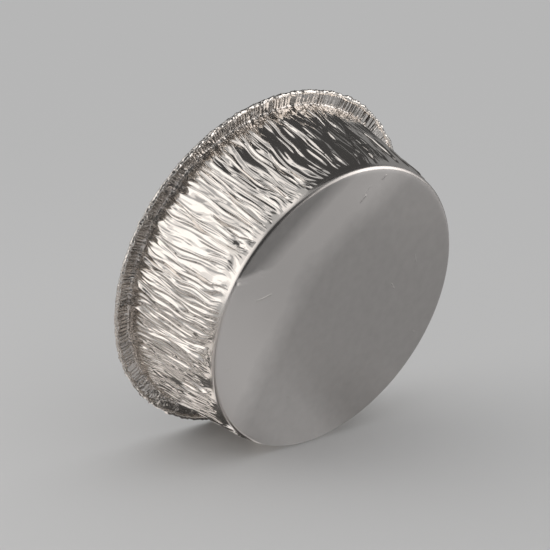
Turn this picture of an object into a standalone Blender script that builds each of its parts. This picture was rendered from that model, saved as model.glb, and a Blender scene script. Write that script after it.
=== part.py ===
"""Deep round pie tray, pressed from one disc of thin aluminium foil.

The tray stands on its flat bottom, open upwards, with the origin at the middle of the bottom's underside.
The sheet is kept as its four formed zones, each a closed solid of the foil's own thickness: the smooth base
panel with its heel, the wrinkled side wall, the shoulder and pleated ledge, and the rolled edge.
"""
import math

import bpy
from mathutils import Vector, noise

# Driving dimensions, in metres
RIM_DIAMETER = 0.120
BASE_DIAMETER = 0.099
TRAY_HEIGHT = 0.037
FOIL_THICKNESS = 0.0001
CORNER_RADIUS = 0.0012
HEEL_HEIGHT = 0.0018
SHOULDER_RADIUS = 0.0022
LEDGE_WIDTH = 0.0032
CURL_DIAMETER = 0.0015
CURL_TURN = math.radians(285.0)
SEAM_GAP = 0.0003

# The wrinkles of the wall, the pleats of the ledge and the ripple of the rolled edge
WRINKLE_COUNT = 112
WRINKLE_DEPTH = 0.0010
WRINKLE_LENGTH = 0.011
WRINKLE_SWAY = 0.0035
WRINKLE_JITTER = 0.0006
PLEAT_COUNT = 112
PLEAT_DEPTH = 0.00035
RIPPLE_COUNT = 40
RIPPLE_DEPTH = 0.0002

# How finely the round forms are divided
BASE_STEPS = 64
CORNER_SEGMENTS = 3
WALL_ROWS = 6
SHOULDER_SEGMENTS = 3
CURL_SEGMENTS = 6
COLUMNS_A_FOLD = 2

# Where each fold reads its own noise: far enough apart that neighbours differ
FOLD_SPACING = 0.61
STRENGTH_PLACE = Vector((0.0, 0.0, 9.0))
WEAKEST_FOLD = 0.15

# Sizes that follow from the driving dimensions
CURL_RADIUS = CURL_DIAMETER / 2
CURL_CENTRE = Vector((RIM_DIAMETER / 2 - CURL_RADIUS, TRAY_HEIGHT - CURL_RADIUS))
LEDGE_UNDERSIDE = TRAY_HEIGHT - FOIL_THICKNESS
LEDGE_INNER_RADIUS = CURL_CENTRE.x - LEDGE_WIDTH
CORNER_CENTRE = Vector((BASE_DIAMETER / 2 - CORNER_RADIUS, CORNER_RADIUS))
SHOULDER_CENTRE = Vector((LEDGE_INNER_RADIUS, LEDGE_UNDERSIDE - SHOULDER_RADIUS))

# The wall is straight in section: it is the line that touches the corner's arc and the shoulder's arc
ARC_SPAN = SHOULDER_CENTRE - CORNER_CENTRE
WALL_FLARE = (math.atan2(ARC_SPAN.x, ARC_SPAN.y)
              - math.asin((CORNER_RADIUS + SHOULDER_RADIUS) / ARC_SPAN.length))
WALL_OUTWARD = Vector((math.cos(WALL_FLARE), -math.sin(WALL_FLARE)))
WALL_FOOT = CORNER_CENTRE + CORNER_RADIUS * WALL_OUTWARD
WALL_HEAD = SHOULDER_CENTRE - SHOULDER_RADIUS * WALL_OUTWARD


def arc_points(centre, radius, start, end, segments):
    """Points of an arc in the section plane; angles run from the outward direction towards the top."""
    points = []
    for step in range(segments + 1):
        angle = start + (end - start) * step / segments
        points.append(centre + radius * Vector((math.cos(angle), math.sin(angle))))
    return points


def wall_point(height):
    """The point of the wall's outer face at a height."""
    share = (height - WALL_FOOT.y) / (WALL_HEAD.y - WALL_FOOT.y)
    return WALL_FOOT.lerp(WALL_HEAD, share)


def foil_finish(name, colour, roughness):
    """Bare aluminium foil."""
    material = bpy.data.materials.new(name)
    material.use_nodes = True
    shader = material.node_tree.nodes["Principled BSDF"]
    shader.inputs["Base Color"].default_value = (*colour, 1.0)
    shader.inputs["Metallic"].default_value = 1.0
    shader.inputs["Roughness"].default_value = roughness
    material.diffuse_color = (*colour, 1.0)
    material.metallic = 1.0
    material.roughness = roughness
    return material


def turned_sheet(name, profile, steps, collection):
    """An open sheet turned from a section that runs down the tray's outer face, top to bottom."""
    mesh = bpy.data.meshes.new(name)
    corners = [(point.x, 0.0, point.y) for point in profile]
    edges = [(index, index + 1) for index in range(len(corners) - 1)]
    mesh.from_pydata(corners, edges, [])
    sheet = bpy.data.objects.new(name, mesh)
    collection.objects.link(sheet)
    screw = sheet.modifiers.new("Turn", "SCREW")
    screw.axis = "Z"
    screw.angle = math.tau
    screw.steps = steps
    screw.render_steps = steps
    screw.use_merge_vertices = True
    screw.merge_threshold = 0.00001
    evaluated = sheet.evaluated_get(bpy.context.evaluated_depsgraph_get())
    turned = bpy.data.meshes.new_from_object(evaluated)
    sheet.modifiers.clear()
    sheet.data = turned
    turned.name = name
    bpy.data.meshes.remove(mesh)
    return sheet


def fold_sheet(sheet, steps, fold):
    """Move each point of a turned sheet; fold gives its new angle, radius and height."""
    for vertex in sheet.data.vertices:
        x, y, height = vertex.co
        radius = math.hypot(x, y)
        column = round(math.atan2(y, x) / math.tau * steps) % steps
        angle, radius, height = fold(column, radius, height)
        vertex.co = (radius * math.cos(angle), radius * math.sin(angle), height)
    sheet.data.update()


def give_thickness(sheet, finish):
    """Thicken the sheet inwards from its outer face, and shade it smooth between its folds."""
    solid = sheet.modifiers.new("Foil", "SOLIDIFY")
    solid.thickness = FOIL_THICKNESS
    solid.offset = -1.0
    sheet.data.materials.clear()
    sheet.data.materials.append(finish)
    sheet.data.shade_smooth()
    sheet.data.set_sharp_from_angle(angle=math.radians(40.0))


def make_base_panel(collection):
    """Flat bottom, rounded corner and smooth heel, as one shallow dish."""
    corner = arc_points(CORNER_CENTRE, CORNER_RADIUS, -WALL_FLARE, -math.pi / 2, CORNER_SEGMENTS)
    profile = [wall_point(HEEL_HEIGHT)] + corner + [Vector((0.0, 0.0))]
    panel = turned_sheet("base_panel", profile, BASE_STEPS, collection)
    give_thickness(panel, foil_finish("base_satin_foil", (0.66, 0.64, 0.62), 0.34))
    return panel


def make_side_wall(collection):
    """Flared wall whose foil is gathered into wrinkles from the shoulder down to the heel."""
    steps = WRINKLE_COUNT * COLUMNS_A_FOLD
    foot = HEEL_HEIGHT + SEAM_GAP
    head = WALL_HEAD.y - SEAM_GAP
    profile = []
    for row in range(WALL_ROWS + 1):
        # Rows lie closer together near both ends, where the wrinkles fade into the smooth foil
        share = 0.5 + 0.5 * math.cos(math.pi * row / WALL_ROWS)
        profile.append(wall_point(foot + (head - foot) * share))
    wall = turned_sheet("side_wall", profile, steps, collection)

    def fold(column, radius, height):
        share = (height - foot) / (head - foot)
        fade = math.sqrt(max(0.0, math.sin(math.pi * share)))
        turn = column * math.tau / steps
        around = Vector((radius * math.cos(turn), radius * math.sin(turn), height)) / WRINKLE_LENGTH
        own_place = Vector((column * FOLD_SPACING, height / WRINKLE_LENGTH, 0.0))
        drift = WRINKLE_SWAY * noise.noise(around) + WRINKLE_JITTER * noise.noise(own_place)
        strength = 0.65 + noise.noise(own_place + STRENGTH_PLACE)
        strength = max(WEAKEST_FOLD, min(1.0, strength))
        valley = column % COLUMNS_A_FOLD
        return turn + fade * drift / radius, radius - valley * fade * strength * WRINKLE_DEPTH, height

    fold_sheet(wall, steps, fold)
    give_thickness(wall, foil_finish("wall_bright_foil", (0.84, 0.79, 0.74), 0.20))
    return wall


def make_rim_flange(collection):
    """Shoulder that turns the wall outwards, and the ledge with its radial pleats."""
    steps = PLEAT_COUNT * COLUMNS_A_FOLD
    outer_end = Vector((CURL_CENTRE.x - SEAM_GAP, LEDGE_UNDERSIDE))
    clear_of_curl = Vector((CURL_CENTRE.x - CURL_RADIUS - SEAM_GAP, LEDGE_UNDERSIDE))
    shoulder = arc_points(SHOULDER_CENTRE, SHOULDER_RADIUS, math.pi / 2, math.pi - WALL_FLARE,
                          SHOULDER_SEGMENTS)
    flange = turned_sheet("rim_flange", [outer_end, clear_of_curl] + shoulder, steps, collection)
    ledge_span = clear_of_curl.x - WALL_HEAD.x

    def fold(column, radius, height):
        share = (radius - WALL_HEAD.x) / ledge_span
        inner_fade = max(0.0, min(1.0, 2.0 * share))
        outer_fade = 1.0 if share <= 1.001 else 0.0
        valley = column % COLUMNS_A_FOLD
        strength = 0.75 + 0.5 * noise.noise(Vector((column * FOLD_SPACING, 0.0, 0.0)) + STRENGTH_PLACE)
        angle = column * math.tau / steps
        return angle, radius, height - valley * inner_fade * outer_fade * strength * PLEAT_DEPTH

    fold_sheet(flange, steps, fold)
    give_thickness(flange, foil_finish("rim_pleated_foil", (0.80, 0.75, 0.71), 0.24))
    return flange


def make_rolled_edge(collection):
    """The foil's edge, curled outwards, down and under, with the light ripple that rolling leaves."""
    steps = RIPPLE_COUNT * COLUMNS_A_FOLD
    top = math.pi / 2
    profile = arc_points(CURL_CENTRE, CURL_RADIUS, top, top - CURL_TURN, CURL_SEGMENTS)
    edge = turned_sheet("rolled_edge", profile, steps, collection)

    def fold(column, radius, height):
        below_top = (TRAY_HEIGHT - height) / CURL_DIAMETER
        valley = column % COLUMNS_A_FOLD
        outward = max(0.0, (radius - CURL_CENTRE.x) / CURL_RADIUS)
        angle = column * math.tau / steps
        return angle, radius - valley * outward * min(1.0, below_top * 2.0) * RIPPLE_DEPTH, height

    fold_sheet(edge, steps, fold)
    give_thickness(edge, foil_finish("edge_bright_foil", (0.82, 0.77, 0.72), 0.22))
    return edge


def main():
    for item in list(bpy.data.objects):
        bpy.data.objects.remove(item, do_unlink=True)
    collection = bpy.data.collections.new("foil_pie_tray")
    bpy.context.scene.collection.children.link(collection)
    make_base_panel(collection)
    make_side_wall(collection)
    make_rim_flange(collection)
    make_rolled_edge(collection)


main()
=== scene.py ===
"""Looks of the foil pie tray, with its wrinkles, pleats and satin bottom, in a small studio."""
import math

import bpy
from bpy.props import FloatProperty, FloatVectorProperty, IntProperty, PointerProperty
from bpy.types import Operator, Panel, PropertyGroup
from mathutils import Matrix, Vector, noise


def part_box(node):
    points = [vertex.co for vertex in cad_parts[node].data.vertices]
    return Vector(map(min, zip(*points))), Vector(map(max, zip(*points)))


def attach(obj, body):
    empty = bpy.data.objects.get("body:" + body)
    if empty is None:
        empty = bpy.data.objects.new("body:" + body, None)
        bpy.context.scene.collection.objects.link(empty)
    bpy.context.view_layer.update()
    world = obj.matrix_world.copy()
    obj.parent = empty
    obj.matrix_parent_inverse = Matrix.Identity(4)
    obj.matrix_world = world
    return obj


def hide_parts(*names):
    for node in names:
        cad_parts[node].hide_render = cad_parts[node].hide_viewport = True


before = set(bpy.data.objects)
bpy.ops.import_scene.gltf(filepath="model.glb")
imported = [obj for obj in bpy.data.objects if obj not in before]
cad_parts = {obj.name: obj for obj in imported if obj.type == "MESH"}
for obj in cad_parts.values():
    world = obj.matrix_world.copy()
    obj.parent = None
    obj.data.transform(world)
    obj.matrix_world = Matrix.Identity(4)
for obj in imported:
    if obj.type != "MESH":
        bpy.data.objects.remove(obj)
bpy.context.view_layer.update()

bl_info = {
    "name": "Foil Pie Tray",
    "version": (1, 0, 0),
    "blender": (4, 5, 0),
    "location": "3D View > Sidebar > Foil Tray",
    "description": "Builds the dressed foil pie tray and the studio that it is shown in",
    "category": "Add Mesh",
}

BASE_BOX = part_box("base_panel")
EDGE_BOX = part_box("rolled_edge")

MM = 0.001
UP = Vector((0.0, 0.0, 1.0))

# The CAD leaves a gap between the bottom's heel and the wall; the finer pieces meet halfway across it
HALF_GAP = 0.15 * MM


class TraySizes(PropertyGroup):
    """Lengths of the tray, the overall ones read from the frame"""
    rim_diameter: FloatProperty(
        name="Rim diameter", description="Over the rolled edge",
        default=2 * EDGE_BOX[1].x, min=0.05, unit="LENGTH")
    tray_height: FloatProperty(
        name="Height", description="From the bottom's underside to the top of the ledge",
        default=EDGE_BOX[1].z, min=0.01, unit="LENGTH")
    base_diameter: FloatProperty(
        name="Base diameter", description="Of the flat bottom with its rounded corner",
        default=0.099, min=0.02, unit="LENGTH")
    heel_height: FloatProperty(
        name="Heel height", description="Smooth band above the bottom",
        default=BASE_BOX[1].z, min=0.001, unit="LENGTH")
    corner_radius: FloatProperty(
        name="Corner radius", description="Between bottom and wall",
        default=0.0012, min=0.0002, unit="LENGTH")
    shoulder_radius: FloatProperty(
        name="Shoulder radius", description="Between wall and ledge",
        default=0.0017, min=0.0002, unit="LENGTH")
    ledge_width: FloatProperty(
        name="Ledge width", description="From the shoulder to the middle of the rolled edge",
        default=0.0032, min=0.001, unit="LENGTH")
    curl_diameter: FloatProperty(
        name="Curl diameter", description="Of the rolled edge",
        default=EDGE_BOX[1].z - EDGE_BOX[0].z, min=0.0005, unit="LENGTH")
    foil_thickness: FloatProperty(
        name="Foil thickness", description="Of the sheet",
        default=0.0001, min=0.00002, precision=5, unit="LENGTH")


class FoldSizes(PropertyGroup):
    """How the foil of the wall, ledge and edge is folded"""
    wall_columns: IntProperty(
        name="Wall columns", description="Divisions round the wall", default=1500, min=64)
    wall_rows: IntProperty(
        name="Wall rows", description="Divisions down the wall", default=32, min=8)
    wrinkle_spacing: FloatProperty(
        name="Wrinkle spacing", description="Between neighbouring wrinkles of the wall",
        default=0.0024, min=0.0005, unit="LENGTH")
    wrinkle_length: FloatProperty(
        name="Wrinkle length", description="Over which a wrinkle forks or runs out",
        default=0.015, min=0.002, unit="LENGTH")
    wrinkle_depth: FloatProperty(
        name="Wrinkle depth", description="How far a wrinkle's ridge stands out",
        default=0.00034, min=0.0, unit="LENGTH")
    wrinkle_drift: FloatProperty(
        name="Wrinkle drift", description="How far a wrinkle wanders sideways",
        default=0.0030, min=0.0, unit="LENGTH")
    pleat_count: IntProperty(
        name="Pleats", description="Radial pleats round the ledge", default=370, min=16)
    pleat_depth: FloatProperty(
        name="Pleat depth", description="Of the ledge's pleats",
        default=0.00050, min=0.0, unit="LENGTH")
    edge_crinkle: FloatProperty(
        name="Edge crinkle", description="How lumpy the rolled edge is",
        default=0.00042, min=0.0, unit="LENGTH")


class FoilColours(PropertyGroup):
    """Colours of the foil's zones and of the studio"""
    base: FloatVectorProperty(
        name="Base", description="Satin bottom", subtype="COLOR", default=(0.60, 0.575, 0.56))
    wall: FloatVectorProperty(
        name="Wall", description="Wrinkled wall", subtype="COLOR", default=(0.83, 0.79, 0.75))
    rim: FloatVectorProperty(
        name="Rim", description="Pleated ledge", subtype="COLOR", default=(0.72, 0.685, 0.655))
    edge: FloatVectorProperty(
        name="Edge", description="Rolled edge", subtype="COLOR", default=(0.78, 0.745, 0.71))
    floor: FloatVectorProperty(
        name="Floor", description="Plain floor", subtype="COLOR", default=(0.60, 0.60, 0.60))


def arc(centre, radius, start, end, count):
    """Points along an arc; angles run from the outward direction towards the top."""
    angles = [start + (end - start) * step / count for step in range(count + 1)]
    return [centre + radius * Vector((math.cos(angle), math.sin(angle))) for angle in angles]


class Section:
    """The tray's section in the plane of radius and height, from its few sizes."""

    def __init__(self, sizes):
        self.curl_radius = sizes.curl_diameter / 2
        self.curl_centre = Vector((sizes.rim_diameter / 2 - self.curl_radius,
                                   sizes.tray_height - self.curl_radius))
        self.ledge_underside = sizes.tray_height - sizes.foil_thickness
        self.corner_centre = Vector((sizes.base_diameter / 2 - sizes.corner_radius,
                                     sizes.corner_radius))
        self.shoulder_centre = Vector((self.curl_centre.x - sizes.ledge_width,
                                       self.ledge_underside - sizes.shoulder_radius))
        span = self.shoulder_centre - self.corner_centre
        self.flare = (math.atan2(span.x, span.y)
                      - math.asin((sizes.corner_radius + sizes.shoulder_radius) / span.length))
        self.wall_outward = Vector((math.cos(self.flare), -math.sin(self.flare)))
        self.wall_foot = self.corner_centre + sizes.corner_radius * self.wall_outward
        self.wall_head = self.shoulder_centre - sizes.shoulder_radius * self.wall_outward

    def on_wall(self, height):
        """The point of the wall's outer face at a height."""
        share = (height - self.wall_foot.y) / (self.wall_head.y - self.wall_foot.y)
        return self.wall_foot.lerp(self.wall_head, share)


def turned_sheet(name, section, columns, close_middle=False):
    """A circle drawn out ring by ring along a section that runs down the outer face."""
    bpy.ops.object.select_all(action="DESELECT")
    bpy.ops.mesh.primitive_circle_add(vertices=columns, radius=section[0].x)
    piece = bpy.context.active_object
    piece.name = name
    piece.data.name = name
    bpy.ops.object.mode_set(mode="EDIT")
    bpy.ops.mesh.select_all(action="SELECT")
    bpy.ops.transform.translate(value=(0.0, 0.0, section[0].y))
    for before, after in zip(section, section[1:]):
        if close_middle and after.x == 0.0:
            bpy.ops.mesh.extrude_edges_move()
            bpy.ops.mesh.merge(type="CENTER")
            continue
        bpy.ops.mesh.extrude_edges_move(
            TRANSFORM_OT_translate={"value": (0.0, 0.0, after.y - before.y)})
        growth = after.x / before.x
        bpy.ops.transform.resize(value=(growth, growth, 1.0), center_override=(0.0, 0.0, after.y))
    bpy.ops.mesh.select_all(action="SELECT")
    bpy.ops.mesh.normals_make_consistent(inside=False)
    bpy.ops.object.mode_set(mode="OBJECT")
    return piece


def shape_sheet(piece, move):
    """Move each point of a turned sheet to where move puts its angle, radius and height."""
    for point in piece.data.vertices:
        x, y, height = point.co
        point.co = move(math.atan2(y, x), math.hypot(x, y), height)
    piece.data.update()


def finish_sheet(piece, sizes, material, smooth_to):
    """Give the sheet its thickness, inwards, and its finish, and hand it to the frame.

    Edges between faces that turn by more than smooth_to stay sharp.
    """
    bpy.ops.object.select_all(action="DESELECT")
    bpy.context.view_layer.objects.active = piece
    piece.select_set(True)
    foil = piece.modifiers.new("Foil", "SOLIDIFY")
    foil.thickness = sizes.foil_thickness
    foil.offset = -1.0
    bpy.ops.object.modifier_apply(modifier=foil.name)
    bpy.ops.object.shade_smooth_by_angle(angle=smooth_to)
    piece.data.materials.append(material)
    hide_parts(piece.name.removesuffix("_foil"))
    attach(piece, "root")


def at(turn, radius, height):
    """A point from its angle, radius and height."""
    return Vector((radius * math.cos(turn), radius * math.sin(turn), height))


def clamp(value):
    """Kept between 0 and 1."""
    return max(0.0, min(1.0, value))


def ease(share):
    """0 to 1 without corners."""
    share = clamp(share)
    return share * share * (3.0 - 2.0 * share)


def even_noise(place, size, layer=0.0):
    """Noise of one size in all directions; layer picks another pattern."""
    return noise.noise(place / size + Vector((0.0, 0.0, layer)))


# How far apart two numbers that follow each other read the noise, so that their values differ
NUMBER_STEP = 0.61


def own_noise(number, layer, height=0.0):
    """Noise that gives each numbered ridge or pleat a value of its own."""
    return noise.noise(Vector((number * NUMBER_STEP, height, layer)))


def stretched_place(turn, radius, height, across, along, layer):
    """Where a pattern is read that is stretched along the height; layer picks another pattern."""
    return Vector((radius * math.cos(turn) / across,
                   radius * math.sin(turn) / across,
                   height / along + layer))


def grain(turn, radius, height, across, along, layer):
    """Noise over the wall, stretched along its height."""
    return noise.noise(stretched_place(turn, radius, height, across, along, layer))


# A facet's own numbers: what stretches the noise to about -1 to 1, how far apart neighbouring facets read
# it, and how far apart the kinds of numbers lie
OWN_SPREAD = 1.6
OWN_STEP = 9.3
KIND_STEP = 31.0

# The kinds: a long facet's level, its tilt sideways and its slope towards the ridge, a short facet's slope
LEVEL_KIND = 0
TILT_KIND = 1
SLOPE_KIND = 3
SHORT_SLOPE_KIND = 0


class Facet:
    """The flat facet of folded foil that a point lies in; straight ridges part it from its neighbours."""

    def __init__(self, turn, radius, height, across, along, layer):
        place = stretched_place(turn, radius, height, across, along, layer)
        spans, centres = noise.voronoi(place)
        self.own_place = centres[0]
        self.to_ridge = (spans[1] ** 2 - spans[0] ** 2) / (2.0 * (centres[1] - centres[0]).length)
        self.sideways = (place - centres[0]).dot(Vector((-math.sin(turn), math.cos(turn), 0.0)))

    def own(self, kind):
        """A number of the facet's own, from about -1 to 1."""
        return OWN_SPREAD * noise.noise(self.own_place * OWN_STEP + Vector((0.0, 0.0, kind * KIND_STEP)))

    def ridge(self, width):
        """1 on the ridge, falling straight to 0 at a width from it."""
        return max(0.0, 1.0 - self.to_ridge / width)


# Where the wall's folds run out, in millimetres: how far above the corner of the bottom crests and facets
# start, over which height they grow, and over which height both fade below the ledge. The uneven numbers
# are added where noise makes the ends uneven.
CREST_START = 0.8
CREST_RISE = 3.2
CREST_RISE_UNEVEN = 2.6
FACET_START = 0.4
FACET_RISE = 5.0
TOP_FADE = 0.4
TOP_FADE_UNEVEN = 0.5

# Patterns of the folds: size round the wall in wrinkle spacings, size along it in wrinkle lengths, layer
LONG_FOLDS = (1.0, 1.0, 0.0)
SHORT_FOLDS = (0.60, 1.1, 15.0)
UNEVEN_ENDS = (1.5, 1.0, 70.0)

# Patterns of the softer waves: size round the wall, size along it, layer
BROAD_DRIFT = (8 * MM, 30 * MM, 4.0)
FINE_DRIFT = (3.6 * MM, 9 * MM, 8.0)
SWELL = (5 * MM, 18 * MM, 60.0)
WAVER = (1.8 * MM, 15 * MM, 90.0)
BUSY = (6 * MM, 9 * MM, 50.0)

# The fine drift's weight beside the broad one
FINE_DRIFT_WEIGHT = 0.38

# How strong the short folds are: at least, on the whole, and how far that varies
LEAST_BUSY = 0.2
MEAN_BUSY = 0.7
BUSY_RANGE = 1.6

# Half widths of the crests, as shares of a facet's size
LONG_CREST_WIDTH = 0.27
SHORT_CREST_WIDTH = 0.40

# How much each kind of fold adds to the wall's relief, in wrinkle depths
LONG_CREST = 0.85
SHORT_CREST = 0.30
STRAIGHT_CREST = 1.20
LONG_SLOPE = 3.2
LONG_LEVEL = 0.25
SHORT_SLOPE = 0.9
SWELL_HEIGHT = 1.1
WAVER_HEIGHT = 0.5

# The straight ridges: spacing in wrinkle spacings, half width and way from the middle of their place as
# shares of that, and the height over which they come and go
RIDGE_SPACING = 0.75
RIDGE_WIDTH = 0.26
RIDGE_STRAY = 0.35
RIDGE_LENGTH = 9 * MM

# Their strength, how far it varies, and the layers of their noise
RIDGE_STRENGTH = 0.6
RIDGE_RANGE = 1.4
RIDGE_LAYER = 20.0
STRAY_LAYER = 50.0


class Wrinkles:
    """The folds of the wall, which run out on the shoulder and at the rounded corner of the bottom."""

    def __init__(self, form, folds):
        self.foot = form.wall_foot.y
        self.top = form.ledge_underside
        self.middle = form.on_wall((self.foot + form.wall_head.y) / 2).x
        self.outward = form.wall_outward
        self.depth = folds.wrinkle_depth
        self.drift = folds.wrinkle_drift
        self.ridge_count = round(math.tau * self.middle / (RIDGE_SPACING * folds.wrinkle_spacing))
        self.long_folds, self.short_folds, self.uneven_ends = (
            (across * folds.wrinkle_spacing, along * folds.wrinkle_length, layer)
            for across, along, layer in (LONG_FOLDS, SHORT_FOLDS, UNEVEN_ENDS))

    def straight_ridge(self, turn, height):
        """0 to 1 on sharp ridges that follow the sheet's columns and come and go along their height."""
        place = turn / math.tau % 1.0 * self.ridge_count
        number = math.floor(place)
        centre = 0.5 + RIDGE_STRAY * own_noise(number, STRAY_LAYER)
        strength = RIDGE_STRENGTH + RIDGE_RANGE * own_noise(number, RIDGE_LAYER, height / RIDGE_LENGTH)
        return clamp(strength) * max(0.0, 1.0 - abs(place % 1.0 - centre) / RIDGE_WIDTH)

    def relief(self, turn, height, crest_share, facet_share):
        """How far the folds stand out, in wrinkle depths, with a share of the crests and of the facets."""
        spot = (turn, self.middle, height)
        long_fold = Facet(*spot, *self.long_folds)
        short_fold = Facet(*spot, *self.short_folds)
        busy = max(LEAST_BUSY, MEAN_BUSY + BUSY_RANGE * grain(*spot, *BUSY))
        crests = LONG_CREST * long_fold.ridge(LONG_CREST_WIDTH)
        crests += SHORT_CREST * busy * short_fold.ridge(SHORT_CREST_WIDTH)
        crests += STRAIGHT_CREST * self.straight_ridge(turn, height)
        facets = LONG_SLOPE * long_fold.own(SLOPE_KIND) * long_fold.to_ridge
        facets += LONG_LEVEL * long_fold.own(LEVEL_KIND)
        facets += (long_fold.own(TILT_KIND) * long_fold.sideways
                   + SWELL_HEIGHT * grain(*spot, *SWELL) + WAVER_HEIGHT * grain(*spot, *WAVER))
        facets += SHORT_SLOPE * busy * short_fold.own(SHORT_SLOPE_KIND) * short_fold.to_ridge
        return crests * crest_share + facets * facet_share

    def move(self, turn, radius, height, outward=None):
        """Where a point of the smooth sheet goes; outward is the way out of the sheet there."""
        uneven = 0.5 + grain(turn, self.middle, 0.0, *self.uneven_ends)
        crest_rise = (CREST_RISE + CREST_RISE_UNEVEN * uneven) * MM
        top_fade = (TOP_FADE + TOP_FADE_UNEVEN * uneven) * MM
        crests = ease((height - self.foot - CREST_START * MM) / crest_rise)
        # The broad facets flatten out over a longer way down than the crests between them
        facets = ease((height - self.foot - FACET_START * MM) / (FACET_RISE * MM))
        below_top = ease((self.top - height) / top_fade)
        if facets * below_top == 0.0:
            return at(turn, radius, height)
        drift = grain(turn, self.middle, height, *BROAD_DRIFT)
        drift += FINE_DRIFT_WEIGHT * grain(turn, self.middle, height, *FINE_DRIFT)
        stand = self.depth * self.relief(turn, height, crests, facets) * below_top
        spot = Vector((radius, height)) + (outward or self.outward) * stand
        return at(turn + self.drift * drift * facets * below_top / self.middle, spot.x, spot.y)


class Signal:
    """An output socket that takes part in sums."""

    def __init__(self, tree, socket):
        self.tree = tree
        self.socket = socket

    def maths(self, operation, first, second):
        """One sum of two numbers or signals."""
        node = self.tree.nodes.new("ShaderNodeMath")
        node.operation = operation
        for slot, value in zip(node.inputs, (first, second)):
            if isinstance(value, Signal):
                self.tree.links.new(value.socket, slot)
            else:
                slot.default_value = value
        return Signal(self.tree, node.outputs[0])

    def __add__(self, other):
        return self.maths("ADD", self, other)

    def __radd__(self, other):
        return self.maths("ADD", other, self)

    def __sub__(self, other):
        return self.maths("SUBTRACT", self, other)

    def __rsub__(self, other):
        return self.maths("SUBTRACT", other, self)

    def __mul__(self, other):
        return self.maths("MULTIPLY", self, other)

    def __rmul__(self, other):
        return self.maths("MULTIPLY", other, self)

    def __abs__(self):
        return self.maths("ABSOLUTE", self, 0.0)

    def larger(self, other):
        """The larger of the two."""
        return self.maths("MAXIMUM", self, other)


class Finish:
    """A material and its node tree."""

    def __init__(self, name):
        self.material = bpy.data.materials.new(name)
        self.material.use_nodes = True
        self.tree = self.material.node_tree
        self.tree.nodes.clear()

    def node(self, kind, options=None, values=None, output=0):
        """Add a node: its options first, then the values or links of its sockets."""
        node = self.tree.nodes.new(kind)
        for key, value in (options or {}).items():
            setattr(node, key, value)
        for key, value in (values or {}).items():
            if isinstance(value, Signal):
                self.tree.links.new(value.socket, node.inputs[key])
            else:
                node.inputs[key].default_value = value
        return Signal(self.tree, node.outputs[output])

    def place(self, height_scale=1.0):
        """Object coordinates, scaled along the height."""
        place = self.node("ShaderNodeTexCoord", output="Object")
        return self.node("ShaderNodeMapping", values={"Vector": place, "Scale": (1.0, 1.0, height_scale)})

    def parts(self, place):
        """The three coordinates of a place."""
        node = self.tree.nodes.new("ShaderNodeSeparateXYZ")
        self.tree.links.new(place.socket, node.inputs["Vector"])
        return [Signal(self.tree, part) for part in node.outputs]

    def speckle(self, place, scale, detail):
        """Fractal noise."""
        return self.node("ShaderNodeTexNoise", values={
            "Vector": place, "Scale": scale, "Detail": detail})

    def blend(self, factor, first, second):
        """A colour between two, each a colour or a signal."""
        first, second = (colour if isinstance(colour, Signal) else (*colour, 1.0)
                         for colour in (first, second))
        return self.node("ShaderNodeMix", {"data_type": "RGBA"}, {
            "Factor": factor, 6: first, 7: second}, output=2)

    def clamped(self, signal):
        """Kept between 0 and 1."""
        return self.node("ShaderNodeClamp", values={"Value": signal})

    def on_line(self, place, start, end, width):
        """1 on a straight line, falling straight to 0 at a width from it and past its ends."""
        along = Vector(end) - Vector(start)
        offset = self.node("ShaderNodeVectorMath", {"operation": "SUBTRACT"}, {0: place, 1: start})
        share = self.node("ShaderNodeVectorMath", {"operation": "DOT_PRODUCT"}, {
            0: offset, 1: along / along.length_squared}, output="Value")
        nearest = self.node("ShaderNodeVectorMath", {"operation": "SCALE"}, {
            0: along, "Scale": self.clamped(share)})
        beside = self.node("ShaderNodeVectorMath", {"operation": "DISTANCE"}, {
            0: offset, 1: nearest}, output="Value")
        return self.clamped(1.0 - beside * (1.0 / width))

    def bump(self, height, distance):
        """A normal from a height, which is given in distances."""
        return self.node("ShaderNodeBump", values={"Height": height, "Distance": distance})

    def surface(self, shader):
        """Link a shader to the material's output."""
        target = self.tree.nodes.new("ShaderNodeOutputMaterial")
        self.tree.links.new(shader.socket, target.inputs["Surface"])
        return self.material


def shade(colour, factor):
    """A colour made darker or lighter."""
    return tuple(min(1.0, channel * factor) for channel in colour)


# Painted reflection: the part of the bottom that is painted brighter, as if it mirrored the lit floor, lies
# beyond either of two lines: the way out across each line, its distance from the middle, the width over
# which the brightness changes, and how cloudy that is
PAINTED_LIGHT_EDGES = (((-0.456, -0.890), 0.0208), ((0.06, -0.998), 0.0242))
PAINTED_LIGHT_BLUR = 0.011
PAINTED_LIGHT_CLOUDS = 0.9

# Painted shade: the patch beside the dent, between the dent and the corner, is painted darker: a line's way
# in, distance and width
PAINTED_SHADE_EDGES = (((0.628, -0.778), 0.0230, 0.0018), ((0.0, -1.0), 0.0370, 0.007))

# Tones of the satin: its darkest and brightest shade, where between them it lies by itself, and how far the
# painted reflection on one side, the painted shade beside the dent and the mottle move it
SATIN_SHADES = (0.56, 1.22)
SATIN_TONE = 0.36
PAINTED_LIGHT_TONE = 0.55
PAINTED_SHADE_TONE = 0.90
MOTTLE_TONE = 0.24

# Its roughness, how far the clouds add to it, and how much smoother the heel is
SATIN_ROUGHNESS = 0.28
CLOUD_ROUGHNESS = 0.08
HEEL_SMOOTHNESS = 0.14

# Where the heel's brightness starts above the bottom, and over which height it grows
HEEL_START = 0.6 * MM
HEEL_BLUR = MM

# Depth of the satin's grain, in millimetres
GRAIN_DEPTH = 0.012

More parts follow.
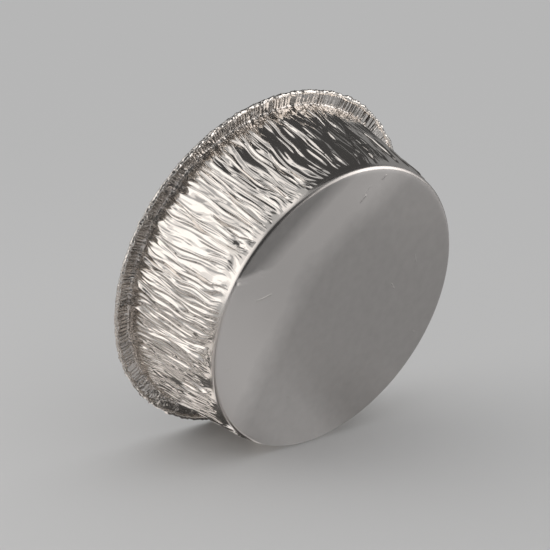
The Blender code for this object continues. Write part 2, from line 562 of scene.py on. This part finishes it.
# Fine creases and scratches of the bottom: both ends, from the middle, half width and depth, in millimetres
SCRATCHES = (
    ((-19.6, -45.4), (-14.6, -41.2), 0.55, 0.16),
    ((-14.6, -41.2), (-9.8, -37.6), 0.45, 0.09),
    ((-18.7, -32.8), (-14.0, -30.0), 0.38, 0.15),
    ((25.8, -27.9), (28.4, -28.2), 0.36, 0.15),
    ((27.6, -28.9), (31.5, -29.6), 0.30, 0.06),
    ((35.9, -27.5), (37.5, -27.6), 0.36, 0.15),
    ((19.9, 12.0), (19.7, 14.4), 0.34, 0.14),
    ((31.9, 10.9), (31.0, 14.0), 0.32, 0.07),
    ((17.0, 38.4), (17.3, 39.4), 0.36, 0.12),
    ((-30.1, 10.8), (-29.5, 11.4), 0.36, 0.15),
    ((-39.5, -21.0), (-37.4, -20.0), 0.32, 0.09),
    ((-9.5, 23.4), (-9.6, 25.9), 0.32, 0.06),
)


def satin_finish(colour, heel_colour):
    """Rolled satin foil of the bottom, with painted reflection on one side, painted shade by the dent and a
    heel as bright as the wall.
    """
    finish = Finish("base_satin_foil")
    place = finish.place()
    x, y, height = finish.parts(place)
    cloud = finish.speckle(place, scale=45.0, detail=2.0)
    fine = finish.speckle(place, scale=2600.0, detail=2.0)
    mottle = finish.speckle(place, scale=300.0, detail=4.0)

    def beyond(way, start, width):
        """0 at a line across the bottom, and 1 at a width beyond it."""
        return (x * way[0] + y * way[1] - start) * (1.0 / width)

    # Painted reflection: the side of the bottom beyond the two lines is painted brighter
    first, second = (beyond(way, start, PAINTED_LIGHT_BLUR) for way, start in PAINTED_LIGHT_EDGES)
    painted_light = finish.clamped(0.5 + first.larger(second) + (cloud - 0.5) * PAINTED_LIGHT_CLOUDS)
    # Painted shade: the patch beside the dent is painted darker
    painted_shade = 1.0
    for way, start, width in PAINTED_SHADE_EDGES:
        painted_shade = painted_shade * finish.clamped(beyond(way, start, width))
    heel = finish.clamped((height - HEEL_START) * (1.0 / HEEL_BLUR))
    tone = SATIN_TONE + painted_light * PAINTED_LIGHT_TONE - painted_shade * PAINTED_SHADE_TONE + mottle * MOTTLE_TONE
    satin = finish.blend(finish.clamped(tone), *(shade(colour, factor) for factor in SATIN_SHADES))
    relief = fine * GRAIN_DEPTH
    for start, end, width, depth in SCRATCHES:
        ends = ((*(MM * value for value in spot), 0.0) for spot in (start, end))
        relief = relief + finish.on_line(place, *ends, width * MM) * depth
    return finish.surface(finish.node("ShaderNodeBsdfPrincipled", values={
        "Base Color": finish.blend(heel, satin, heel_colour), "Metallic": 1.0,
        "Roughness": SATIN_ROUGHNESS + cloud * CLOUD_ROUGHNESS - heel * HEEL_SMOOTHNESS,
        "Normal": finish.bump(relief, MM)}))


# Bright foil: its darkest and brightest shade, how much smoother its smoothest spots are, and how far the
# clouds add to its roughness
BRIGHT_SHADES = (0.92, 1.06)
BRIGHT_SMOOTHNESS = 0.03
BRIGHT_ROUGHNESS = 0.07

# Its relief: the unit of height, and the height of its crumple and its creases in that unit
RELIEF_UNIT = 0.00012
CRUMPLE_DEPTH = 0.02
CREASE_DEPTH = 0.02


def wrinkled_finish(name, colour, roughness, height_scale):
    """Bright foil with a crumple and fine creases; a small height_scale draws them out upwards."""
    finish = Finish(name)
    drawn_out = finish.place(height_scale)
    cloud = finish.speckle(finish.place(), scale=160.0, detail=3.0)
    crumple = finish.speckle(drawn_out, scale=1300.0, detail=2.0)
    crease = finish.node("ShaderNodeTexVoronoi", {"feature": "DISTANCE_TO_EDGE"}, {
        "Vector": drawn_out, "Scale": 900.0})
    return finish.surface(finish.node("ShaderNodeBsdfPrincipled", values={
        "Base Color": finish.blend(cloud, *(shade(colour, factor) for factor in BRIGHT_SHADES)),
        "Metallic": 1.0, "Roughness": roughness - BRIGHT_SMOOTHNESS + cloud * BRIGHT_ROUGHNESS,
        "Normal": finish.bump(crumple * CRUMPLE_DEPTH + crease * CREASE_DEPTH, RELIEF_UNIT)}))


def settings(context):
    """The three groups of properties."""
    scene = context.scene
    return scene.tray_sizes, scene.tray_folds, scene.tray_colours


# Small creases pressed into the bottom: both ends, from the middle, half width and depth, in millimetres
BOTTOM_CREASES = (
    ((-19.3, -44.6), (-12.5, -39.8), 1.3, 0.50),
    ((-12.5, -39.8), (-9.0, -37.0), 1.1, 0.20),
    ((2.0, -47.0), (7.5, -44.5), 1.4, 0.16),
)

# The sag of the bottom: depth, size and layer of its two patterns, what is added to it, and how far inside
# the rounded corner it is full
SAGS = ((0.30 * MM, 26 * MM, 3.0), (0.06 * MM, 11 * MM, 7.0))
LEAST_SAG = 0.05 * MM
SAG_FADE = 5 * MM

# Rows of the heel, steps round the corner and rings of the flat bottom. The rings lie closer together
# towards the edge, where the bottom is dented.
HEEL_ROWS = 3
CORNER_STEPS = 6
BOTTOM_RINGS = 18
RING_CROWDING = 1.35


def near_line(place, start, end, width):
    """1 on a straight line, falling straight to 0 at a width from it and past its ends."""
    along = end - start
    spot = Vector((place.x, place.y)) - start
    share = clamp(spot.dot(along) / along.length_squared)
    beside = (spot - along * share).length
    return max(0.0, 1.0 - beside / width)


class TRAY_OT_base_panel(Operator):
    """Model the satin bottom with its rounded corner and smooth heel"""
    bl_idname = "tray.base_panel"
    bl_label = "Base Panel"

    def execute(self, context):
        sizes, folds, colours = settings(context)
        form = Section(sizes)
        top = sizes.heel_height + HALF_GAP
        flat = form.corner_centre.x
        section = [form.on_wall(top + (form.wall_foot.y - top) * step / HEEL_ROWS)
                   for step in range(HEEL_ROWS)]
        section += arc(form.corner_centre, sizes.corner_radius, -form.flare, -math.pi / 2, CORNER_STEPS)
        section += [Vector((flat * (1.0 - (step / BOTTOM_RINGS) ** RING_CROWDING), 0.0))
                    for step in range(1, BOTTOM_RINGS)]
        section.append(Vector((0.0, 0.0)))
        panel = turned_sheet("base_panel_foil", section, folds.wall_columns, close_middle=True)
        wrinkles = Wrinkles(form, folds)

        def move(turn, radius, height):
            if height > form.wall_foot.y:
                return wrinkles.move(turn, radius, height)
            place = at(turn, radius, height)
            sag = sum(depth * even_noise(place, size, layer) for depth, size, layer in SAGS)
            rise = ease((flat - radius) / SAG_FADE) * (abs(sag) + LEAST_SAG)
            # A crease that reaches the rounded corner runs out on it
            on_bottom = ease(1.0 - height / form.wall_foot.y)
            for start, end, width, depth in BOTTOM_CREASES:
                pressed = near_line(place / MM, Vector(start), Vector(end), width)
                rise += on_bottom * depth * MM * pressed
            return at(turn, radius, height + rise)

        shape_sheet(panel, move)
        finish_sheet(panel, sizes, satin_finish(colours.base, colours.wall),
                     smooth_to=math.radians(50.0))
        return {"FINISHED"}


# How much closer together the wall's rows lie near both ends, where the folds run out
ROW_CROWDING = 0.05


class TRAY_OT_side_wall(Operator):
    """Model the wall and gather its foil into long wrinkles"""
    bl_idname = "tray.side_wall"
    bl_label = "Side Wall"

    def execute(self, context):
        sizes, folds, colours = settings(context)
        form = Section(sizes)
        foot = sizes.heel_height + HALF_GAP
        head = form.wall_head.y
        rows = folds.wall_rows
        shares = [row / rows - ROW_CROWDING * math.sin(math.tau * row / rows) for row in range(rows + 1)]
        section = [form.on_wall(head + (foot - head) * share) for share in shares]
        wall = turned_sheet("side_wall_foil", section, folds.wall_columns)
        shape_sheet(wall, Wrinkles(form, folds).move)
        bright = wrinkled_finish("wall_bright_foil", colours.wall, roughness=0.11, height_scale=0.07)
        finish_sheet(wall, sizes, bright, smooth_to=math.radians(85.0))
        return {"FINISHED"}


# Rings of the ledge and steps round the shoulder
LEDGE_RINGS = 7
SHOULDER_STEPS = 7

# Where the ledge's pleats are most tangled, and how narrow that side is
TANGLED_TURN = math.radians(268.0)
TANGLED_FOCUS = 8

# How tangled they are everywhere, what that side adds, what noise adds, and that noise's size and layer
TANGLE_REST = 0.15
TANGLE_SIDE = 0.75
TANGLE_NOISE = 1.1
TANGLE_SIZE = 22 * MM
TANGLE_LAYER = 40.0

# How far a pleat lies beside its even place, and how far it bends on its way out, both in pleats: where it
# is straight, what the tangle adds, and the size of the noise
STRAY_PLEAT = (0.30, 0.5, 2.2 * MM)
BENT_PLEAT = (0.25, 1.3, 3.5 * MM)

# How narrow the valleys are, and how strong the pleats are: at least, on the whole, how far that varies
# from one to the next, and the layer of that noise
VALLEY_SHARPNESS = 4.5
LEAST_PLEAT = 0.3
MEAN_PLEAT = 0.85
PLEAT_RANGE = 0.7
PLEAT_LAYER = 9.0

# Height of the lumps on the pleats, in millimetres, where the pleats are straight, and what the tangle
# adds; their coarse and fine size, and the weight of the fine ones
LUMP_HEIGHT = 0.07
LUMP_TANGLED = 0.22
COARSE_LUMP = 1.5 * MM
FINE_LUMP = 0.8 * MM
FINE_LUMP_WEIGHT = 0.5

# Shares of the ledge's width: where pleats and lumps start, inside the shoulder, over which widths they
# grow, and over which width the pleats fade at the rolled edge
PLEAT_START = 0.40
PLEAT_GROWTH = 0.30
LUMP_START = 0.45
LUMP_GROWTH = 0.20
PLEAT_FADE = 0.10


class Pleats:
    """The radial pleats of the ledge, which run out on the shoulder and at the rolled edge."""

    def __init__(self, form, folds):
        self.inner = form.shoulder_centre.x
        self.outer = form.curl_centre.x
        self.count = folds.pleat_count
        self.depth = folds.pleat_depth

    def tangle(self, turn, place):
        """0 where the pleats run straight out, 1 where they are most tangled."""
        side = max(0.0, math.cos(turn - TANGLED_TURN)) ** TANGLED_FOCUS
        patches = even_noise(place, TANGLE_SIZE, TANGLE_LAYER)
        return ease(TANGLE_REST + TANGLE_SIDE * side + TANGLE_NOISE * patches)

    def wander(self, place, tangle, kind):
        """How far a pleat is moved sideways, in pleats."""
        straight, tangled, size = kind
        return (straight + tangled * tangle) * even_noise(place, size)

    def stand(self, turn, radius, height):
        """How far the foil stands out of the smooth ledge or shoulder."""
        share = (radius - self.inner) / (self.outer - self.inner)
        place = at(turn, radius, height)
        tangle = self.tangle(turn, place)
        wander = self.wander(at(turn, self.outer, 0.0), tangle, STRAY_PLEAT)
        wander += self.wander(place, tangle, BENT_PLEAT)
        phase = turn / math.tau * self.count + wander
        # Broad crests with narrow valleys between them
        wave = 1.0 - abs(2.0 * (phase % 1.0) - 1.0) ** VALLEY_SHARPNESS
        strength = max(LEAST_PLEAT, MEAN_PLEAT + PLEAT_RANGE * own_noise(math.floor(phase), PLEAT_LAYER))
        grown = ease((share + PLEAT_START) / PLEAT_GROWTH)
        pleat = self.depth * strength * wave * grown * ease((1.0 - share) / PLEAT_FADE)
        lump = even_noise(place, COARSE_LUMP) + FINE_LUMP_WEIGHT * even_noise(place, FINE_LUMP)
        lump *= (LUMP_HEIGHT + LUMP_TANGLED * tangle) * MM * ease((share + LUMP_START) / LUMP_GROWTH)
        return pleat + lump


class TRAY_OT_rim_flange(Operator):
    """Model the shoulder and the ledge with its fine radial pleats"""
    bl_idname = "tray.rim_flange"
    bl_label = "Rim Flange"

    def execute(self, context):
        sizes, folds, colours = settings(context)
        form = Section(sizes)
        outer = form.curl_centre.x
        inner = form.shoulder_centre.x
        section = [Vector((outer + (inner - outer) * step / LEDGE_RINGS, form.ledge_underside))
                   for step in range(LEDGE_RINGS)]
        section += arc(form.shoulder_centre, sizes.shoulder_radius, math.pi / 2,
                       math.pi - form.flare, SHOULDER_STEPS)
        # Twice the wall's columns, so that the folds that pass the seam meet
        flange = turned_sheet("rim_flange_foil", section, 2 * folds.wall_columns)
        wrinkles = Wrinkles(form, folds)
        pleats = Pleats(form, folds)

        def move(turn, radius, height):
            outward = Vector((0.0, -1.0))
            if radius < inner:
                outward = (form.shoulder_centre - Vector((radius, height))).normalized()
            spot = Vector((radius, height)) + outward * pleats.stand(turn, radius, height)
            return wrinkles.move(turn, spot.x, spot.y, outward)

        shape_sheet(flange, move)
        bright = wrinkled_finish("rim_pleated_foil", colours.rim, roughness=0.17, height_scale=1.0)
        finish_sheet(flange, sizes, bright, smooth_to=math.radians(60.0))
        return {"FINISHED"}


# The edge: how far it is curled round, its steps round the curl, and its columns round the tray
CURL_TURN = math.radians(285.0)
CURL_STEPS = 14
EDGE_COLUMNS = 1200

# Its crinkles: weight and size of its two kinds of lumps, weight of the pleats that reach it, size of the
# noise that moves those sideways, and how far below the top all are full, in curl radii
EDGE_LUMPS = ((1.2, 2.3 * MM), (0.8, 0.9 * MM))
EDGE_PLEATS = 0.5
EDGE_STRAY = 2 * MM
EDGE_FADE = 0.5


class TRAY_OT_rolled_edge(Operator):
    """Model the edge, curled outwards, down and under, with its crinkles"""
    bl_idname = "tray.rolled_edge"
    bl_label = "Rolled Edge"

    def execute(self, context):
        sizes, folds, colours = settings(context)
        form = Section(sizes)
        section = arc(form.curl_centre, form.curl_radius, math.pi / 2,
                      math.pi / 2 - CURL_TURN, CURL_STEPS)
        edge = turned_sheet("rolled_edge_foil", section, EDGE_COLUMNS)

        def move(turn, radius, height):
            spoke = Vector((radius, height)) - form.curl_centre
            place = at(turn, radius, height)
            below = ease((sizes.tray_height - height) / (EDGE_FADE * form.curl_radius))
            lump = sum(weight * even_noise(place, size) for weight, size in EDGE_LUMPS)
            wander = even_noise(at(turn, radius, 0.0), EDGE_STRAY)
            phase = (turn / math.tau * folds.pleat_count + wander) % 1.0
            wave = 1.0 - abs(2.0 * phase - 1.0)
            grow = 1.0 + below * folds.edge_crinkle * (lump - EDGE_PLEATS * wave) / form.curl_radius
            spot = form.curl_centre + spoke * grow
            return at(turn, spot.x, spot.y)

        shape_sheet(edge, move)
        bright = wrinkled_finish("edge_bright_foil", colours.edge, roughness=0.16, height_scale=1.0)
        finish_sheet(edge, sizes, bright, smooth_to=math.radians(60.0))
        return {"FINISHED"}


# The side of the tray that touches the table
CONTACT_TURN = math.radians(135.0)

# The camera: where it stands, what it aims at, and its turn about its own axis
CAMERA_TURN = CONTACT_TURN + math.radians(123.0)
CAMERA_RISE = math.radians(-36.379)
CAMERA_DISTANCE = 0.53517
CAMERA_AIM = (-0.0020, 0.02266)
CAMERA_ROLL = math.radians(-55.349)
CLIP_START = 0.01

# Its lens in millimetres, from the focal length and the picture's width in pixels
FOCAL_PIXELS = 1700.0
PICTURE_PIXELS = 550.0
SENSOR_WIDTH = 36.0
CAMERA_LENS = FOCAL_PIXELS / PICTURE_PIXELS * SENSOR_WIDTH

# The even light of the room, and how bright its backdrop looks
ROOM_LIGHT = 0.78
BACKDROP_SHADE = 0.47

# The lamps and the striped cards are a little warm, the plain cards aren't
WARM = (1.0, 0.955, 0.915)
NEUTRAL = (1.0, 1.0, 1.0)

# The two floors, large enough to reach the horizon, and how far they keep from the tray
FLOOR_SIZE = (600.0, 600.0)
TABLE_CLEARANCE = 0.0001
FLOOR_CLEARANCE = 0.0002

# The strip of the table that the foil nearly touches: half width, how far below the contact it starts,
# and the widths over which its sides and its upper end fade
STRIP_WIDTH = 8 * MM
STRIP_BELOW = 14 * MM
SIDE_BLUR = 20 * MM
END_BLUR = 6 * MM

# Bright stripes on the dark cards, which the wrinkles show as bright bands: axis, spacing, width, brightness
LEFT_STRIPES = (0, 0.068, 0.028, 0.76)
BESIDE_STRIPES = (0, 0.022, 0.009, 0.90)
FRONT_STRIPES = (0, 0.012, 0.003, 0.90)

# Lamps: direction in the photograph's view, distance, size and brightness; the second pair lights no matt
# surface and only shows in the foil
ROOM_LAMPS = (
    ("left_softbox", (-0.88, 0.34, 0.32), 0.40, (0.34, 0.34), 0.48),
    ("left_core", (-0.90, 0.28, 0.30), 0.39, (0.20, 0.20), 0.40),
)
FOIL_LAMPS = (
    ("right_softbox", (0.85, 0.36, 0.18), 0.45, (0.50, 0.46), 1.3),
    ("upper_softbox", (-0.36, 0.89, 0.22), 0.42, (0.36, 0.09), 0.55),
)

# Cards that stand round the tray: the same numbers
STANDING_CARDS = (
    ("dark_backdrop", (0.10, 0.82, -0.57), 0.32, (0.50, 0.70), 0.06),
    ("grey_backdrop", (0.27, 0.58, -0.77), 0.28, (0.50, 0.20), 0.24),
    ("dark_room", (0.04, 0.20, 1.0), 0.50, (0.80, 0.80), 0.08),
)

# Cards that lie on the table: how far to the right and towards the camera, size, brightness and stripes
TABLE_CARDS = (
    ("left_mat", -0.2425, 0.0, (0.295, 0.44), 0.12, LEFT_STRIPES),
    ("beside_mat", -0.065, 0.0, (0.060, 0.44), 0.10, BESIDE_STRIPES),
    ("front_mat", -0.0235, 0.125, (0.023, 0.35), 0.06, FRONT_STRIPES),
    ("right_mat", 0.42, 0.0, (0.72, 0.80), 0.37, None),
)

# The crests of the ledge's pleats at the top mirror the light one of these cards, their flanks the dark
# ones: how far to the right, width, and each one's way towards the camera, length and brightness
LEDGE_CARDS_RIGHT = 0.223
LEDGE_CARDS_WIDTH = 0.065
LEDGE_CARDS = ((-0.03, 0.22, 0.75), (0.19, 0.18, 0.06), (-0.29, 0.22, 0.06))

# How far the cards lie above the table; the ledge's lie on top of the others
CARD_LIFT = MM
LEDGE_CARD_LIFT = 2 * MM


class Studio:
    """Directions of the photograph's view, and the table that the tray's side lies on."""

    def __init__(self, sizes):
        form = Section(sizes)
        toward = Vector((math.cos(CAMERA_TURN) * math.cos(CAMERA_RISE),
                         math.sin(CAMERA_TURN) * math.cos(CAMERA_RISE), math.sin(CAMERA_RISE)))
        self.place = toward * CAMERA_DISTANCE
        across = (-toward).cross(UP).normalized()
        above = across.cross(-toward)
        aim = across * CAMERA_AIM[0] + above * CAMERA_AIM[1]
        look = (aim - self.place).normalized()
        right = look.cross(above).normalized()
        up = right.cross(look)
        self.right = math.cos(CAMERA_ROLL) * right + math.sin(CAMERA_ROLL) * up
        self.up = math.cos(CAMERA_ROLL) * up - math.sin(CAMERA_ROLL) * right
        self.back = -look
        base_radius = sizes.base_diameter / 2
        rim_radius = sizes.rim_diameter / 2
        rim_height = form.curl_centre.y
        lean = math.atan2(rim_radius - base_radius, rim_height)
        outward = Vector((math.cos(CONTACT_TURN), math.sin(CONTACT_TURN), 0.0))
        self.table_normal = -(outward * math.cos(lean) - Vector((0.0, 0.0, math.sin(lean))))
        self.contact = outward * rim_radius + Vector((0.0, 0.0, rim_height))
        self.middle = Vector((0.0, 0.0, sizes.tray_height / 2))

    def toward(self, x, y, z):
        """A direction given to the right, up and towards the camera, as the photograph shows it."""
        return (self.right * x + self.up * y + self.back * z).normalized()


def placed(place, right, up, back):
    """The matrix of an item from its place and its three axes."""
    return Matrix.Translation(place) @ Matrix((right, up, back)).transposed().to_4x4()


def place_facing(item, place, facing, up):
    """Put an item at a place, its +Z axis along facing."""
    side = up.cross(facing).normalized()
    item.matrix_world = placed(place, side, facing.cross(side), facing)


def softbox(name, studio, direction, distance, size, brightness):
    """A soft lamp that looks at the tray from a direction in the photograph's view."""
    lamp = bpy.data.lights.new(name, "AREA")
    lamp.shape = "RECTANGLE"
    lamp.size = size[0]
    lamp.size_y = size[1]
    lamp.energy = brightness * size[0] * size[1] * math.pi
    lamp.color = WARM
    item = bpy.data.objects.new(name, lamp)
    bpy.context.scene.collection.objects.link(item)
    toward = studio.toward(*direction)
    place_facing(item, studio.middle + toward * distance, toward, studio.up)
    item.visible_camera = False
    return item


def plane(name, size, place, facing, up, material):
    """A flat piece of the stage."""
    bpy.ops.object.select_all(action="DESELECT")
    bpy.ops.mesh.primitive_plane_add(size=1.0)
    item = bpy.context.active_object
    item.name = name
    item.scale = (size[0], size[1], 1.0)
    bpy.ops.object.transform_apply(location=False, rotation=False, scale=True)
    place_facing(item, place, facing, up)
    item.data.materials.append(material)
    return item


def floor_finish(name, colour, roughness, in_reflections):
    """Plain floor that shows from above only; the foil that nearly touches it sees the backdrop instead."""
    finish = Finish(name)
    rays = finish.node("ShaderNodeLightPath", output="Is Camera Ray")
    paint = finish.node("ShaderNodeBsdfPrincipled", values={
        "Base Color": (*colour, 1.0), "Roughness": roughness, "Specular IOR Level": 0.0})
    if in_reflections:
        across, along, _ = finish.parts(finish.place())
        beside = finish.clamped((abs(across) - STRIP_WIDTH) * (1.0 / SIDE_BLUR))
        above = finish.clamped((along + STRIP_BELOW) * (1.0 / END_BLUR))
        glossy = finish.node("ShaderNodeLightPath", output="Is Glossy Ray")
        rays = rays + glossy * beside.larger(above)
    front = 1.0 - finish.node("ShaderNodeNewGeometry", output="Backfacing")
    clear = finish.node("ShaderNodeBsdfTransparent")
    return finish.surface(finish.node("ShaderNodeMixShader", values={
        0: rays * front, 1: clear, 2: paint}))


def card(name, size, place, facing, up, brightness, stripes=None):
    """A dim card that shows in the foil only; stripes are an axis, a spacing, a width and a brightness."""
    finish = Finish(name)
    if stripes:
        axis, spacing, width, bright = stripes
        count = finish.parts(finish.place())[axis] * (1.0 / spacing)
        share = count.maths("FRACT", count, 0.0)
        in_stripe = share.maths("LESS_THAN", share, width / spacing)
        brightness = brightness + in_stripe * (bright - brightness)
    glow = finish.node("ShaderNodeEmission", values={
        "Color": (*(WARM if stripes else NEUTRAL), 1.0), "Strength": brightness})
    item = plane(name, size, place, facing, up, finish.surface(glow))
    item.visible_camera = False
    item.visible_diffuse = False
    item.visible_shadow = False


def standing_card(name, studio, direction, distance, size, brightness):
    """A card that faces the tray from a direction in the photograph's view."""
    toward = studio.toward(*direction)
    card(name, size, studio.middle + toward * distance, -toward, studio.up, brightness)


def table_card(name, studio, right, toward_camera, size, brightness, stripes=None, lift=CARD_LIFT):
    """A card that lies on the table, so far to the right of the tray's middle and towards the camera."""
    normal = studio.table_normal
    height = (studio.middle - studio.contact).dot(normal)
    across = (studio.right - normal * studio.right.dot(normal)).normalized()
    near = across.cross(normal)
    place = studio.middle + normal * (lift - height) + across * right + near * toward_camera
    card(name, size, place, normal, near, brightness, stripes)


def room_light(world):
    """Even light from all round; the camera and the foil see a pale grey backdrop there."""
    world.use_nodes = True
    tree = world.node_tree
    tree.nodes.clear()
    path = tree.nodes.new("ShaderNodeLightPath")
    seen = (Signal(tree, path.outputs["Is Camera Ray"]) + Signal(tree, path.outputs["Is Glossy Ray"])
            + Signal(tree, path.outputs["Is Transmission Ray"]))
    strength = ROOM_LIGHT + seen * (BACKDROP_SHADE - ROOM_LIGHT)
    light = tree.nodes.new("ShaderNodeBackground")
    light.inputs["Color"].default_value = (1.0, 1.0, 1.0, 1.0)
    tree.links.new(strength.socket, light.inputs["Strength"])
    target = tree.nodes.new("ShaderNodeOutputWorld")
    tree.links.new(light.outputs["Background"], target.inputs["Surface"])


class TRAY_OT_stage(Operator):
    """Set up the camera, lamps, cards and floors"""
    bl_idname = "tray.stage"
    bl_label = "Stage"

    def execute(self, context):
        sizes, _, colours = settings(context)
        studio = Studio(sizes)
        scene = context.scene
        camera = bpy.data.objects.new("camera", bpy.data.cameras.new("camera"))
        scene.collection.objects.link(camera)
        camera.data.lens = CAMERA_LENS
        camera.data.clip_start = CLIP_START
        camera.matrix_world = placed(studio.place, studio.right, studio.up, studio.back)
        scene.camera = camera

        for name, *values in ROOM_LAMPS:
            softbox(name, studio, *values)
        for name, *values in FOIL_LAMPS:
            softbox(name, studio, *values).visible_diffuse = False
        for name, *values in STANDING_CARDS:
            standing_card(name, studio, *values)
        for name, *values in TABLE_CARDS:
            table_card(name, studio, *values)
        for toward_camera, length, brightness in LEDGE_CARDS:
            table_card("ledge_mat", studio, LEDGE_CARDS_RIGHT, toward_camera, (LEDGE_CARDS_WIDTH, length),
                       brightness, lift=LEDGE_CARD_LIFT)

        table = floor_finish("table_top", colours.floor, roughness=0.35, in_reflections=True)
        plane("table", FLOOR_SIZE, studio.contact - studio.table_normal * TABLE_CLEARANCE,
              studio.table_normal, UP, table)
        floor = floor_finish("floor_top", colours.floor, roughness=0.6, in_reflections=False)
        plane("floor", FLOOR_SIZE, Vector((0.0, 0.0, -FLOOR_CLEARANCE)), UP,
              Vector((0.0, 1.0, 0.0)), floor)

        scene.world = bpy.data.worlds.new("studio")
        room_light(scene.world)
        scene.view_settings.view_transform = "Standard"
        return {"FINISHED"}


PIECES = ("base_panel", "side_wall", "rim_flange", "rolled_edge", "stage")


class TRAY_PT_sidebar(Panel):
    """Lists the tray's pieces in the sidebar"""
    bl_idname = "TRAY_PT_sidebar"
    bl_label = "Foil Tray"
    bl_space_type = "VIEW_3D"
    bl_region_type = "UI"
    bl_category = "Foil Tray"

    def draw(self, context):
        for group in settings(context):
            for key in group.bl_rna.properties.keys():
                if key not in ("rna_type", "name"):
                    self.layout.prop(group, key)
        for piece in PIECES:
            self.layout.operator("tray." + piece)


CLASSES = (TraySizes, FoldSizes, FoilColours, TRAY_OT_base_panel, TRAY_OT_side_wall, TRAY_OT_rim_flange,
           TRAY_OT_rolled_edge, TRAY_OT_stage, TRAY_PT_sidebar)


def register():
    for item in CLASSES:
        bpy.utils.register_class(item)
    bpy.types.Scene.tray_sizes = PointerProperty(type=TraySizes)
    bpy.types.Scene.tray_folds = PointerProperty(type=FoldSizes)
    bpy.types.Scene.tray_colours = PointerProperty(type=FoilColours)


def unregister():
    del bpy.types.Scene.tray_colours
    del bpy.types.Scene.tray_folds
    del bpy.types.Scene.tray_sizes
    for item in reversed(CLASSES):
        bpy.utils.unregister_class(item)


def main():
    register()
    for piece in PIECES:
        getattr(bpy.ops.tray, piece)()


if __name__ == "__main__":
    main()
